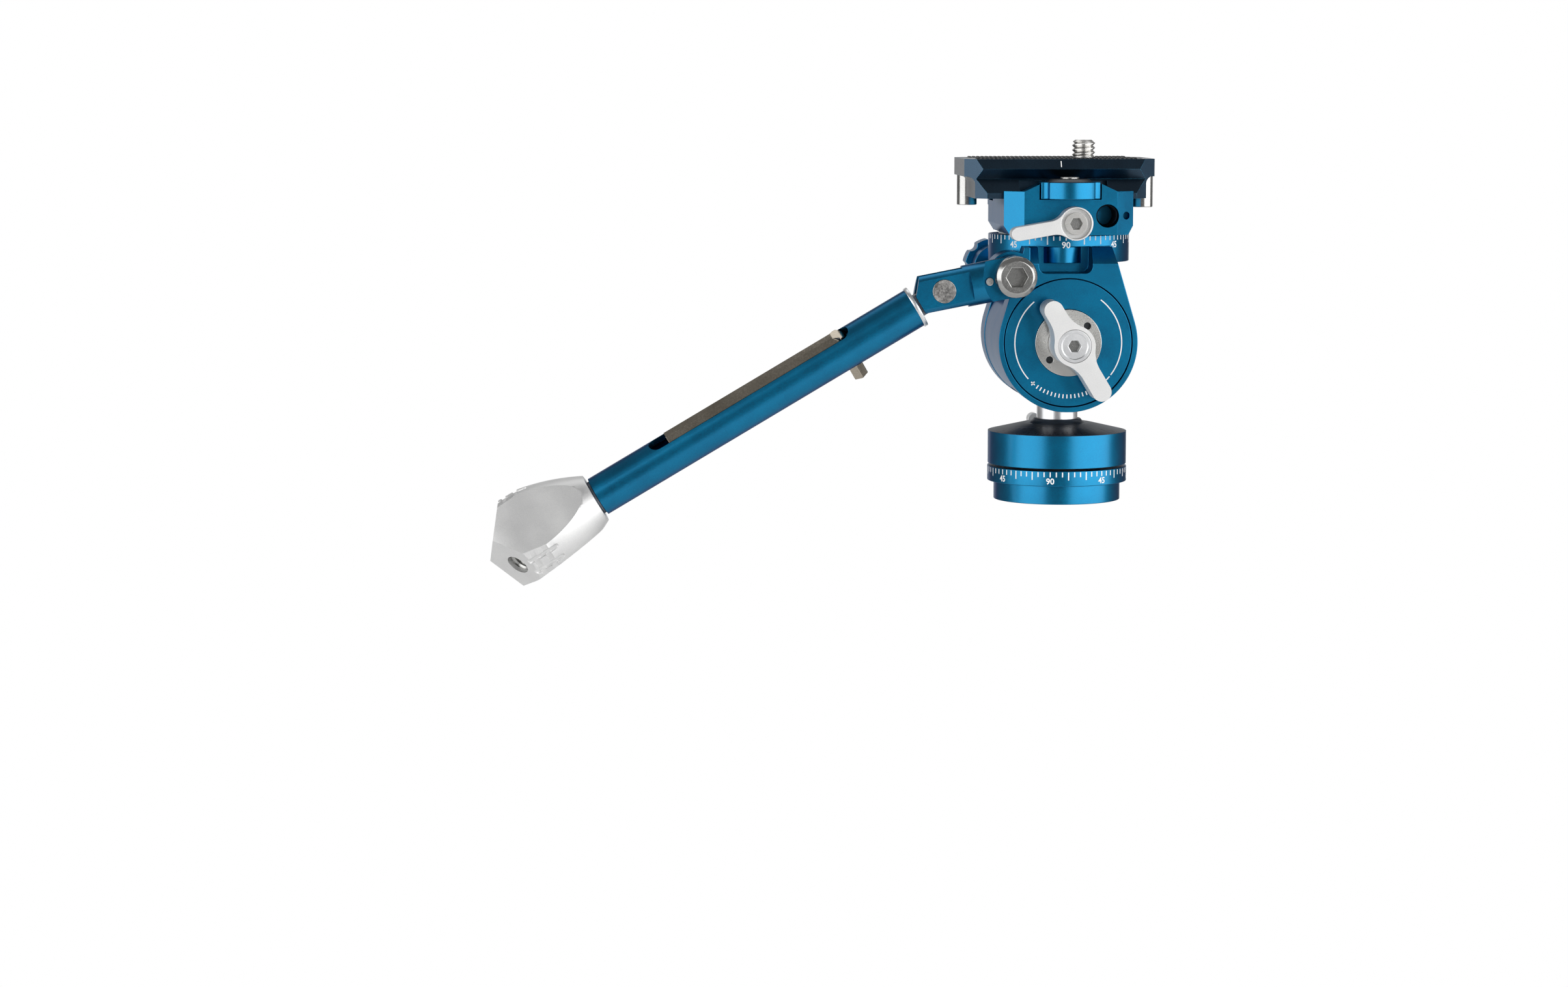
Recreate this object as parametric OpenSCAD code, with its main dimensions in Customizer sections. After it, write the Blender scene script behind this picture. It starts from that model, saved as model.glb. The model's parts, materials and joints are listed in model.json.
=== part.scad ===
// Hybrid tripod head: a panning base, a ball, a tilting yoke, a panning clamp, a plate and a folding handle.
// Units are millimetres. X runs to the right, Y away from the front, Z up.
// The origin is the centre of the underside of the base.

/* [Base] */
// step in from the drum to the foot flange
flange_inset = 1.7; // [1.2:0.1:2.6]
// height of the foot flange
flange_h = 5.2; // [4.8:0.1:6]
// how far the lower dial ring stands out from the drum
dial_proud = 0.1; // [0:0.05:0.5]
// height of the lower dial ring
dial_h = 4.2; // [3.8:0.1:5]
// radius of the turning drum
drum_r = 19.3; // [19:0.1:20]
// height of the turning drum
drum_h = 9; // [8.6:0.1:10]
// thickness of the low-friction washer under the drum
pan_washer_t = 0.7; // [0.5:0.1:1]
// radius of the pan axle
axle_r = 5; // [4.6:0.1:5.2]
// radius of the tripod thread bore
socket_r = 4.76; // [4.6:0.02:4.8]
// depth of the tripod thread bore
socket_depth = 8; // [6:0.5:8]
// rise of the low cone on the drum cap
cap_cone_h = 2.2; // [1.8:0.1:2.8]
// rise of the flare round the stem
cap_flare_h = 1.2; // [0.8:0.1:1.6]
// reach of the lower pan lock lever
lower_lever_len = 8.6; // [7:0.1:10]

/* [Ball] */
// height of the ball centre over the drum cap
stem_rise = 22.5; // [22.5:0.1:25]
// radius of the polished stem
stem_r = 5.7; // [5:0.1:5.8]
// radius of the neck under the ball
neck_r = 4.4; // [4:0.1:4.5]
// radius of the ball
ball_r = 11; // [10.8:0.1:11]
// thickness of the ball liner
liner_t = 0.9; // [0.7:0.1:1]
// half-angle of the opening under the cup
mouth_angle = 43.5; // [43:0.5:45]

/* [Yoke] */
// radius of the round cheek ends
cheek_r = 19.05; // [18.9:0.05:19.4]
// distance from the middle to the outer face of a cheek
cheek_out = 22.5; // [22.3:0.1:23]
// distance from the middle to the inner face of a cheek
cheek_in = 13.5; // [13.4:0.1:13.8]
// rim of the cheek round its disc
disc_rim = 1.65; // [1.6:0.05:2]
// wall of the cheek round its bearing spigot
spigot_rim = 5.05; // [4.7:0.05:6]
// radius of the upper dial
ring_r = 19.5; // [19.2:0.1:20]
// height of the underside of the upper dial over the cheek circle
ring_lift = 2.45; // [2.3:0.05:3]
// height of the upper dial
ring_h = 7.5; // [7:0.1:8]
// radius of the ear for the handle bolt
ear_r = 6.5; // [6.2:0.1:7]

/* [Locks] */
// length of the long arm of the ball lock lever
long_arm = 14.4; // [12:0.1:14.8]
// length of the short arm of the ball lock lever
short_arm = 11.2; // [9:0.1:13]
// direction of the short arm, anticlockwise from the right
lever_turn = 121; // [105:1:140]
// length of the pan lock lever
pan_arm = 15.9; // [12:0.1:16.5]
// drop of the pan lock lever under the horizontal
pan_drop = 10; // [8:1:12]
// radius of the scalloped tilt knob
tilt_knob_r = 8; // [7:0.1:8.6]
// radius of the four-lobed clamp knob
clamp_knob_r = 8.4; // [8:0.05:8.6]

/* [Clamp and plate] */
// half of the clamp width
clamp_hw = 17.7; // [17:0.1:18.2]
// thickness of the front jaw before the rail
jaw_front = 6.6; // [6.6:0.1:7.4]
// thickness of the rear jaw behind the rail
jaw_rear = 3.2; // [2.8:0.1:4]
// half of the rail width at its widest
rail_hw = 19; // [18.6:0.1:19]
// length of the plate
plate_len = 52.4; // [52:0.2:56]
// sideways place of the plate centre
plate_x = -1.6; // [-1.8:0.1:-1.4]
// radius of the camera thread
screw_r = 3.175; // [3.1:0.025:3.2]
// sideways place of the camera screw
screw_x = 6.8; // [2:0.1:7.4]
// height of the camera screw over the plate
screw_rise = 5; // [4:0.1:7]
// radius of the stop pins
stop_r = 2.8; // [2.2:0.1:2.8]
// radius of the accessory threads
accessory_r = 3.15; // [3:0.05:3.2]

/* [Handle] */
// radius of the handle bracket
bracket_r = 5.65; // [5.4:0.05:5.7]
// radius of the handle tube
tube_r = 5.5; // [5.3:0.1:5.6]
// distance from the elbow pin to the end of the tube
tube_end = 108.5; // [100:0.5:120]
// slope of the handle under the horizontal
handle_slope = 30.67; // [25:0.1:34]
// largest radius of the grip
grip_r = 12.9; // [12.4:0.1:13.4]
// size across the flats of the hex key
key_af = 4; // [3.5:0.1:4]
// start of the key slot along the tube
slot_start = 27.5; // [24:0.5:32]
// length of the key slot
slot_len = 62.3; // [56:0.1:66]
// turn of the key slot from the top towards the front
slot_turn = 30; // [20:1:40]

/* [Fits] */
// radial play of a running fit
fit = 0.05; // [0.03:0.01:0.08]
// radial play round a disc that shows as a dark ring
ring_gap = 0.25; // [0.2:0.05:0.4]
// play between flat faces that slide
slip = 0.02; // [0.02:0.01:0.04]

/* [Hidden] */
$fn = 96;
eps = 0.01;
hex_fn = 6;

// Heights in the base
z_dial_top = flange_h + dial_h;
z_drum = z_dial_top + pan_washer_t;
z_cap = z_drum + drum_h;
z_cone = z_cap + cap_cone_h;
z_cap_top = z_cone + cap_flare_h;
ball_z = z_cap_top + stem_rise;
flange_r = drum_r - flange_inset;
dial_r = drum_r + dial_proud;
boss_r = drum_r - 7.3;
axle_foot_r = 8;
axle_foot_h = z_dial_top - 0.9;
nut_r = 8;
nut_room = 0.4;
nut_stub_r = 3.5;
z_nut = z_drum + 2.9;
foot_r = 9.9;
foot_h = 2.7;
z_foot = z_cap - foot_h;
z_nut_top = z_foot - nut_room;
flare_r = 2 * cap_flare_h;
cap_ledge_r = 9.7;
cap_flare_r = 8.6;
lower_lock_z = z_drum + 4.5;
lower_hub_r = 4.5;
lower_tip_r = 1.7;
lower_lever_turn = 125;
lower_lever_y = drum_r + 0.3;
lower_lever_t = 4.6;
lower_screw_r = 2.5;

// Ball, liner and cup
liner_in = ball_r + fit;
liner_out = liner_in + liner_t;
cavity_r = liner_out + fit;
cup_r = cheek_r - 0.15;
cup_half = cheek_in - 0.4;
cup_top = cup_r + 0.4;
liner_mouth = mouth_angle - 3.5;
shoe_r = 6;
shoe_window_r = shoe_r + 0.3;
shoe_back = 16.5;
neck_foot = 14;
stem_top = 16;

// Discs and the ball lock
disc_r = cheek_r - disc_rim;
spigot_r = cheek_r - spigot_rim;
disc_face = cheek_out - 0.2;
disc_back = disc_face - 2.2;
counterbore_floor = disc_back - 0.1;
spanner_nut_r = 9.1;
spanner_nut_y = 1.4;
spanner_hole_r = 1;
spanner_hole_at = 6.9;
lock_screw_r = 4;
lever_face = cheek_out + 13.5;
lever_back = cheek_out + 3.4;
lever_hub_r = 5.6;
lever_hub_back = cheek_out + 0.9;
lever_arm_hw = 2.6;
lever_fillet = 9;
cap_r = 4.5;
cap_t = 3;
cap_inner_r = 3.5;
small_hex_r = 1.75;

// Yoke
drag_gap = 0.05;
ring_z = cheek_r + ring_lift;
tangent_x = cheek_r * cos(16.5);
tangent_z = cheek_r * sin(16.5);
shoulder_x = cheek_r - 5.55;
lip_z = ring_z + 4.5;
lip_x = shoulder_x - 1.3;
lip_y = cheek_out - 2.9;
web_z = cup_top;
notch_left = -8.2;
notch_right = 6.5;
notch_floor = cup_r;
notch_corner = 2;
notch_back = 14.3;
notch_boss_r = 5;
notch_boss_x = -0.8;
ear_x = -15.6;
ear_z = cheek_r - 0.55;
bolt_r = 3;
dowel_x = ear_x - 6.9;
dowel_z = ear_z - 1.4;
dowel_r = 1.1;
dowel_lobe = 2.8;
ring_top = ring_z + ring_h;
upper_foot_r = 7;
upper_foot_h = ring_z - web_z - 0.1;

// Clamp
clamp_front = rail_hw + jaw_front;
clamp_rear = rail_hw + jaw_rear;
clamp_z = ring_top + 0.4;
clamp_side_z = clamp_z + 11.8;
clamp_jaw_z = clamp_z + 14;
clamp_floor = clamp_z + 9.6;
clamp_corner = 5;
clamp_flat = clamp_hw - clamp_corner;
clamp_rise = 8;
side_chamfer_x = 1.5;
side_chamfer_z = 2.4;
clamp_foot_rear = rail_hw - 1.4;
clamp_foot_h = 7;
upper_nut_z = clamp_z + 4.5;
upper_nut_h = 2.5;
jaw_play = 0.15;
accessory_x = 10;
accessory_z = clamp_z + 5.2;
locating_x = 15.5;
locating_r = 1.05;
pan_lock_x = 0.8;
pan_lock_z = clamp_z + 3.3;
pan_hub_r = 4.55;
pan_arm_hw = 1.9;
pan_fillet = 5;
pan_lever_back = clamp_front + 0.2;
pan_lever_face = clamp_front + 5.6;
pan_screw_r = 2.5;
pan_head_r = 3;
pan_counterbore_r = 4.1;
clamp_knob_x = -0.15;
clamp_knob_y = -rail_hw - 4.4;
clamp_knob_z = clamp_floor + 0.2;
knob_pocket_r = clamp_knob_r + 0.35;
flute_r = 1.9;
flute_at = clamp_knob_r + 0.7;
cone_r = 6.6;
cone_top_r = 5.2;
cone_h = 0.8;
stud_r = 1.6;
stud_foot = clamp_z + 6.6;

// Plate, with its heights measured from the clamp floor
plate_z = clamp_floor + 0.1;
rail_z = plate_z + 1.5;
valley_z = plate_z + 5.3;
ridge_z = plate_z + 8;
plate_top = plate_z + 10.7;
valley_hw = rail_hw - 2.8;
ridge_hw = rail_hw - 1;
top_hw = rail_hw - 2.7;
flange_half = plate_len / 2;
rail_half = flange_half - 2.7;
plate_corner = 4.7;
relief_hw = rail_hw - 4.8;
relief_z = valley_z - 0.5;
clamp_knob_h = relief_z - clamp_knob_z - 0.15;
relief_left = -13.2;
relief_right = 11;
slot_left = -8;
slot_right = 7.6;
slot_r = screw_r + 0.2;
shank_r = screw_r - 0.25;
thread_z = plate_top + 0.4;
head_r = 7.4;
head_room = 0.25;
head_z = plate_z + 0.9;
head_top = plate_z + 4.3;
washer_top = head_top + 0.55;
channel_top = washer_top + slip;
channel_hw = head_r + head_room;
pad_depth = 0.5;
pad_t = 0.8;
pad_in = top_hw - 7.7;
pad_out = top_hw - 3.3;
pad_half = flange_half - 3.4;
pin_z0 = plate_z - 2.5;
pin_z1 = valley_z + 2.1;
left_pin_x = plate_x - flange_half + stop_r + 0.4;
left_pin_y = rail_hw - 9;
right_pin_x = plate_x + flange_half - stop_r - 0.3;
right_pin_y = 7 - rail_hw;
pin_room = 0.4;

// Handle
handle_y = -cheek_out - 5.8;
elbow_x = ear_x - 19.4;
elbow_z = ear_z - 3.8;
bracket_dx = elbow_x - ear_x;
bracket_dz = elbow_z - ear_z;
bracket_len = norm([bracket_dx, bracket_dz]);
bracket_turn = atan2(-bracket_dz, bracket_dx);
bracket_end = 7.3;
bracket_facet = 20;
bracket_seat = -cheek_out - handle_y;
spot_y = -1.2;
spot_r = 9;
bolt_head_r = 5.65;
bolt_head_h = 5.5;
bolt_hex_r = 2.9;
bolt_chamfer = 1.2;
elbow_pin_r = 3.2;
elbow_flat = 4.2;
fork_hw = 2.6;
tongue_hw = 2.5;
tongue_r = 4.7;
neck_hw = 3;
fork_back = 6;
tube_washer_start = 8.1;
tube_start = 9.2;
tube_bore = 4;
plug_r = tube_bore - fit;
handle_turn = 180 - handle_slope;
key_r = key_af / sqrt(3);
key_out = tube_r + 0.7 - key_af / 2;
key_start = slot_start + 3;
key_len = slot_len - 6.3;
key_short = tube_r + 4.3;
key_room = 0.3;
key_bend = key_af;
grip_start = tube_end + 0.8;
grip_neck_r = 6.95;
grip_len = 33.2;
grip_tip = grip_start + grip_len;
ridge_start = 17;
facet_turn = 51.4;
grip_flat_in = 7.9;
grip_flat_tilt = 5.9;
flat_crease = 24.8;
end_hole_at = 8;
end_hole_depth = 7;
grip_bulge = 60;
plug_depth = 11.5;
groove_off = 2;
groove_r = 0.75;
groove_d = 0.75;
groove_start = 15;
cross_at = [17.9, 21.4];
cross_w = 1.5;

// Helpers: a cylinder along Y, a cylinder along X, a flat shape drawn in X and Z, one drawn in Y and Z
module y_cyl(x, z, y0, y1, r) {
    translate([x, y0, z]) rotate([-90, 0, 0]) cylinder(h = y1 - y0, r = r);
}

module x_cyl(x0, x1, r) {
    translate([x0, 0, 0]) rotate([0, 90, 0]) cylinder(h = x1 - x0, r = r);
}

module y_slab(y0, y1) {
    translate([0, y1, 0]) rotate([90, 0, 0]) linear_extrude(height = y1 - y0) children();
}

module x_slab(x0, x1) {
    translate([x0, 0, 0]) rotate([90, 0, 90]) linear_extrude(height = x1 - x0) children();
}

module ring(z0, z1, r_out, r_in) {
    translate([0, 0, z0]) difference() {
        cylinder(h = z1 - z0, r = r_out);
        translate([0, 0, -1]) cylinder(h = z1 - z0 + 2, r = r_in);
    }
}

// A straight lever that narrows from a hub to a tip, its sides a hair inside both
module tapered_lever(y0, y1, turn, r0, len, r1) {
    lean = asin((r0 - r1) / len);
    inset = 0.996;
    p0 = inset * r0 * [sin(lean), cos(lean)];
    p1 = [len, 0] + inset * r1 * [sin(lean), cos(lean)];
    union() {
        y_slab(y0, y1) circle(r = r0);
        y_slab(y0, y1) rotate(turn) translate([len, 0]) circle(r = r1);
        y_slab(y0, y1) rotate(turn) polygon([p0, p1, [p1[0], -p1[1]], [p0[0], -p0[1]]]);
    }
}

// An arm of even width with a round tip, joined to its hub by hollow fillets
module filleted_arm(r0, len, hw, fillet) {
    join = sqrt(pow(r0 + fillet, 2) - pow(hw + fillet, 2));
    translate([len, 0]) circle(r = hw);
    translate([0, -hw]) square([len, 2 * hw]);
    for (side = [-1, 1])
        difference() {
            polygon([[0, 0], [join, 0], [join, side * (hw + fillet)]]);
            translate([join, side * (hw + fillet)]) circle(r = fillet);
        }
}

module hex_pocket(x, z, y0, y1, r) {
    translate([x, y0, z]) rotate([-90, 0, 0]) cylinder(h = y1 - y0, r = r, $fn = hex_fn);
}

// Frames: the head turns about the ball centre, the bracket starts at its bolt, the handle at its pin
module head() {
    translate([0, 0, ball_z]) children();
}

module bracket_frame() {
    head() translate([ear_x, handle_y, ear_z]) rotate([0, bracket_turn, 0]) children();
}

module handle_frame() {
    head() translate([elbow_x, handle_y, elbow_z]) rotate([0, handle_turn, 0]) children();
}

// Base
module base_flange() {
    color("steelblue") difference() {
        union() {
            cylinder(h = flange_h, r = flange_r);
            cylinder(h = z_dial_top, r = boss_r);
        }
        translate([0, 0, -1]) cylinder(h = axle_foot_h + 1, r = axle_foot_r + fit);
        cylinder(h = z_dial_top + 1, r = axle_r + fit);
    }
}

module pan_axle() {
    color("silver") difference() {
        union() {
            cylinder(h = axle_foot_h, r = axle_foot_r);
            cylinder(h = z_nut, r = axle_r);
            cylinder(h = z_nut_top, r = nut_stub_r);
        }
        translate([0, 0, -1]) cylinder(h = socket_depth + 1, r = socket_r);
    }
}

module axle_nut() {
    color("silver") ring(z_nut + slip, z_nut_top, nut_r, nut_stub_r + fit);
}

module lower_dial_ring() {
    color("steelblue") ring(flange_h, z_dial_top, dial_r, boss_r + fit);
}

module pan_washer() {
    color("dimgray") ring(z_dial_top, z_drum - slip, boss_r, axle_r + fit);
}

// Drum
module base_drum() {
    color("steelblue") difference() {
        translate([0, 0, z_drum]) cylinder(h = drum_h, r = drum_r);
        translate([0, 0, z_drum - 1]) cylinder(h = drum_h, r = axle_r + fit);
        translate([0, 0, z_nut]) cylinder(h = drum_h, r = nut_r + nut_room);
        translate([0, 0, z_foot]) cylinder(h = drum_h, r = foot_r + fit);
        y_cyl(0, lower_lock_z, 0, drum_r + 1, lower_screw_r + fit);
    }
}

module drum_cap() {
    color("dimgray") rotate_extrude() difference() {
        polygon([
            [stem_r + fit, z_cap], [drum_r, z_cap], [cap_ledge_r, z_cone],
            [cap_flare_r, z_cone], [cap_flare_r, z_cap_top], [stem_r + fit, z_cap_top]
        ]);
        translate([cap_flare_r, z_cone + flare_r]) circle(r = flare_r);
    }
}

module ball_stem() {
    color("gainsboro") union() {
        rotate_extrude() polygon([
            [0, z_foot], [foot_r, z_foot], [foot_r, z_cap], [stem_r, z_cap], [stem_r, ball_z - stem_top],
            [neck_r, ball_z - neck_foot], [neck_r, ball_z - ball_r + 2], [0, ball_z - ball_r + 2]
        ]);
        head() sphere(r = ball_r);
    }
}

// Lower pan lock
module lower_pan_lever() {
    color("gainsboro") difference() {
        translate([0, 0, lower_lock_z])
            tapered_lever(lower_lever_y, lower_lever_y + lower_lever_t, lower_lever_turn,
                lower_hub_r, lower_lever_len - lower_tip_r, lower_tip_r);
        y_cyl(0, lower_lock_z, drum_r, drum_r + 10, lower_screw_r + fit);
    }
}

module lower_pan_screw() {
    color("silver") difference() {
        y_cyl(0, lower_lock_z, foot_r + nut_room, lower_lever_y + lower_lever_t + 0.3, lower_screw_r);
        hex_pocket(0, lower_lock_z, lower_lever_y + lower_lever_t - 1.6, lower_lever_y + 10, small_hex_r);
    }
}

// Ball seat
module ball_liner() {
    color("ivory") head() difference() {
        sphere(r = liner_out);
        sphere(r = liner_in);
        y_cyl(0, 0, -2 * ball_r, 0, shoe_window_r);
        mirror([0, 0, 1]) cylinder(h = 2 * ball_r, r1 = 0, r2 = 2 * ball_r * tan(liner_mouth));
    }
}

module ball_cup() {
    color("silver") head() difference() {
        y_cyl(0, 0, -cup_half, cup_half, cup_r);
        sphere(r = cavity_r);
        mirror([0, 0, 1]) cylinder(h = 2 * cup_r, r1 = 0, r2 = 2 * cup_r * tan(mouth_angle));
        y_cyl(0, 0, -2 * cup_r, -ball_r / 2, shoe_r + fit);
    }
}

module lock_disc() {
    color("steelblue") head() difference() {
        union() {
            y_cyl(0, 0, -disc_face, -disc_back, disc_r);
            y_cyl(0, 0, -disc_back, -cup_half, spigot_r);
        }
        y_cyl(0, 0, -shoe_back - 0.5, 0, shoe_r + fit);
        y_cyl(0, 0, -disc_face - 1, 0, lock_screw_r + fit);
        y_cyl(0, 0, -disc_face - 1, -disc_face + spanner_nut_y, spanner_nut_r + fit);
    }
}

module rear_disc() {
    color("steelblue") head() difference() {
        union() {
            y_cyl(0, 0, disc_back, disc_face, disc_r);
            y_cyl(0, 0, cup_half, disc_back, spigot_r);
        }
        y_cyl(0, 0, disc_face - spanner_nut_y, disc_face + 1, spanner_nut_r);
    }
}

module spanner_nut() {
    color("dimgray") head() difference() {
        y_cyl(0, 0, -disc_face - 0.5, -disc_face + spanner_nut_y, spanner_nut_r);
        y_cyl(0, 0, -disc_face - 1, 0, lock_screw_r + fit);
        for (side = [-1, 1])
            y_cyl(side * spanner_hole_at * cos(42), side * spanner_hole_at * sin(42),
                -disc_face - 1, -disc_face + 0.8, spanner_hole_r);
    }
}

module brake_shoe() {
    color("dimgray") head() difference() {
        y_cyl(0, 0, -shoe_back, -ball_r / 2, shoe_r);
        sphere(r = ball_r + fit);
    }
}

// Ball lock
module ball_lock_lever() {
    color("gainsboro") head() difference() {
        union() {
            y_slab(-lever_face, -lever_back) {
                circle(r = lever_hub_r);
                rotate(lever_turn) filleted_arm(lever_hub_r, short_arm, lever_arm_hw, lever_fillet);
                rotate(lever_turn + 180) filleted_arm(lever_hub_r, long_arm, lever_arm_hw, lever_fillet);
            }
            y_cyl(0, 0, -lever_back - 1, -lever_hub_back, lever_hub_r);
        }
        y_cyl(0, 0, -lever_face - 1, 0, lock_screw_r + fit);
        y_cyl(0, 0, -lever_face - 1, -lever_face + cap_t, cap_r + fit);
    }
}

module lock_screw() {
    color("silver") head() y_cyl(0, 0, -lever_face + cap_t, -shoe_back - 0.4, lock_screw_r);
}

module lever_cap() {
    color("silver") head() difference() {
        y_cyl(0, 0, -lever_face + 0.1, -lever_face + cap_t, cap_r);
        y_cyl(0, 0, -lever_face - 1, -lever_face + 0.5, cap_inner_r);
        hex_pocket(0, 0, -lever_face - 1, -lever_face + 2.4, small_hex_r);
    }
}

// Yoke
module cheek_outline() {
    circle(r = cheek_r);
    polygon([
        [tangent_x, tangent_z], [shoulder_x, ring_z], [lip_x, lip_z],
        [-lip_x, lip_z], [-shoulder_x, ring_z], [-tangent_x, tangent_z]
    ]);
    translate([ear_x, ear_z]) circle(r = ear_r);
}

module dowel_lobe() {
    translate([dowel_x, dowel_z]) circle(r = dowel_lobe);
    polygon([
        [dowel_x, dowel_z - dowel_lobe], [ear_x, ear_z - ear_r],
        [ear_x, ear_z + ear_r], [dowel_x, dowel_z + dowel_lobe]
    ]);
}

// The front cheek with its sloping lip
module cheek() {
    difference() {
        y_slab(-cheek_out, -cheek_in) cheek_outline();
        x_slab(ear_x + 5, 2 * cheek_r) polygon([
            [-cheek_out - 1, ring_z], [-cheek_out, ring_z], [-lip_y, lip_z],
            [-lip_y, lip_z + 1], [-cheek_out - 1, lip_z + 1]
        ]);
    }
}

// The window in the front cheek, with round lower corners
module notch() {
    difference() {
        y_slab(-cheek_out - 1, -notch_back) union() {
            translate([notch_left, notch_floor + notch_corner])
                square([notch_right - notch_left, lip_z - notch_floor - notch_corner]);
            translate([notch_left + notch_corner, notch_floor])
                square([notch_right - notch_left - 2 * notch_corner, 2 * notch_corner]);
            for (x = [notch_left + notch_corner, notch_right - notch_corner])
                translate([x, notch_floor + notch_corner]) circle(r = notch_corner);
        }
        translate([notch_boss_x, -notch_back, ring_z]) cylinder(h = 2 * ring_h, r = notch_boss_r);
    }
}

module yoke() {
    color("steelblue") head() difference() {
        union() {
            cheek();
            mirror([0, 1, 0]) cheek();
            y_slab(-cheek_out, -cheek_in) dowel_lobe();
            translate([0, 0, ring_z]) cylinder(h = ring_h, r = ring_r);
            translate([-shoulder_x, -cheek_in - eps, web_z])
                cube([2 * shoulder_x, 2 * cheek_in + 2 * eps, ring_z - web_z + eps]);
        }
        y_cyl(0, 0, -cheek_out - 1, cheek_out + 1, spigot_r + fit);
        y_cyl(0, 0, -cheek_out - 1, -counterbore_floor, disc_r + ring_gap);
        y_cyl(0, 0, counterbore_floor, cheek_out + 1, disc_r + ring_gap);
        notch();
        translate([0, 0, web_z - 1]) cylinder(h = upper_foot_h + 1.1, r = upper_foot_r + fit);
        cylinder(h = 2 * ring_top, r = axle_r + fit);
        y_cyl(ear_x, ear_z, -cheek_out - 1, cheek_out + 1, bolt_r + fit);
        y_cyl(dowel_x, dowel_z, -cheek_out - 1, -cheek_out + 5, dowel_r + fit);
    }
}

module drag_ring(y0, y1) {
    difference() {
        y_cyl(0, 0, y0, y1, cup_r - 0.4);
        y_cyl(0, 0, y0 - 1, y1 + 1, spigot_r + fit);
    }
}

module drag_washer_front() {
    color("dimgray") head() drag_ring(-cheek_in + slip, -cup_half - drag_gap);
}

module drag_washer_rear() {
    color("dimgray") head() drag_ring(cup_half + drag_gap, cheek_in - slip);
}

module upper_pan_axle() {
    color("silver") head() union() {
        translate([0, 0, web_z + 0.1]) cylinder(h = upper_foot_h, r = upper_foot_r);
        translate([0, 0, web_z + 0.1]) cylinder(h = upper_nut_z - web_z - 0.1, r = axle_r);
        translate([0, 0, web_z + 0.1]) cylinder(h = upper_nut_z + upper_nut_h - web_z - 0.1, r = nut_stub_r);
    }
}

module upper_axle_nut() {
    color("silver") head() ring(upper_nut_z + slip, upper_nut_z + upper_nut_h, nut_r, nut_stub_r + fit);
}

module upper_pan_washer() {
    color("dimgray") head() ring(ring_top, clamp_z - slip, clamp_hw - 1, axle_r + fit);
}

// Tilt lock
module tilt_lock_knob() {
    knob_y = cheek_out + 0.3;
    color("steelblue") head() difference() {
        y_cyl(ear_x, ear_z, knob_y, knob_y + 8.2, tilt_knob_r);
        for (turn = [0 : 45 : 315])
            y_cyl(ear_x + (tilt_knob_r + 0.8) * cos(turn), ear_z + (tilt_knob_r + 0.8) * sin(turn),
                knob_y - 1, knob_y + 9.2, 1.7);
        y_cyl(ear_x, ear_z, knob_y - 1, knob_y + 9.2, bolt_r + fit);
    }
}

module tilt_lock_screw() {
    color("silver") head() difference() {
        y_cyl(ear_x, ear_z, cheek_in + 0.3, cheek_out + 8.3, bolt_r);
        hex_pocket(ear_x, ear_z, cheek_out + 6.3, cheek_out + 9, small_hex_r);
    }
}

// Clamp
module clamp_plan() {
    polygon([
        [-clamp_hw, clamp_rear - 3], [-clamp_hw, clamp_corner - clamp_front], [-clamp_flat, -clamp_front],
        [clamp_flat, -clamp_front], [clamp_hw, clamp_corner - clamp_front], [clamp_hw, clamp_rear - 3],
        [clamp_hw - 3, clamp_rear], [3 - clamp_hw, clamp_rear]
    ]);
}

module clamp_elevation() {
    polygon([
        [side_chamfer_x - clamp_hw, clamp_z], [clamp_hw - side_chamfer_x, clamp_z],
        [clamp_hw, clamp_z + side_chamfer_z], [clamp_hw, clamp_side_z], [clamp_flat, clamp_side_z],
        [clamp_rise, clamp_jaw_z], [-clamp_rise, clamp_jaw_z], [-clamp_flat, clamp_side_z],
        [-clamp_hw, clamp_side_z], [-clamp_hw, clamp_z + side_chamfer_z]
    ]);
}

// The channel that the rail slides in, hollowed under both jaws
module rail_channel() {
    polygon([
        [-rail_hw - jaw_play, clamp_floor], [rail_hw + jaw_play, clamp_floor],
        [rail_hw + jaw_play, rail_z + jaw_play], [valley_hw + jaw_play, valley_z + jaw_play],
        [valley_hw + jaw_play, valley_z + 5], [-valley_hw - jaw_play, valley_z + 5],
        [-valley_hw - jaw_play, valley_z + jaw_play], [-rail_hw - jaw_play, rail_z + jaw_play]
    ]);
}

module clamp_body() {
    color("steelblue") head() difference() {
        intersection() {
            translate([0, 0, clamp_z]) linear_extrude(height = clamp_jaw_z - clamp_z) clamp_plan();
            y_slab(-clamp_front - 1, clamp_rear + 1) clamp_elevation();
        }
        x_slab(-clamp_hw - 1, clamp_hw + 1) rail_channel();
        cylinder(h = clamp_floor + 1, r = axle_r + fit);
        translate([0, 0, upper_nut_z]) cylinder(h = clamp_floor, r = nut_r + nut_room);
        translate([clamp_knob_x, clamp_knob_y, clamp_floor]) cylinder(h = 10, r = knob_pocket_r);
        translate([clamp_knob_x, clamp_knob_y, stud_foot]) cylinder(h = 10, r = stud_r + fit);
        y_cyl(pan_lock_x, pan_lock_z, -clamp_front - 1, 0, pan_screw_r + fit);
        y_cyl(accessory_x, accessory_z, -clamp_front - 1, -clamp_front + 11, accessory_r);
        y_cyl(locating_x, accessory_z, -clamp_front - 1, -clamp_front + 7, locating_r);
        translate([-clamp_hw - 1, 6, clamp_side_z - 3.4]) cube([2.6, 9, 1.6]);
        translate([-clamp_hw - 1, clamp_foot_rear, clamp_z - 1]) cube([2 * clamp_hw + 2, 20, clamp_foot_h + 1]);
    }
}

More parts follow.
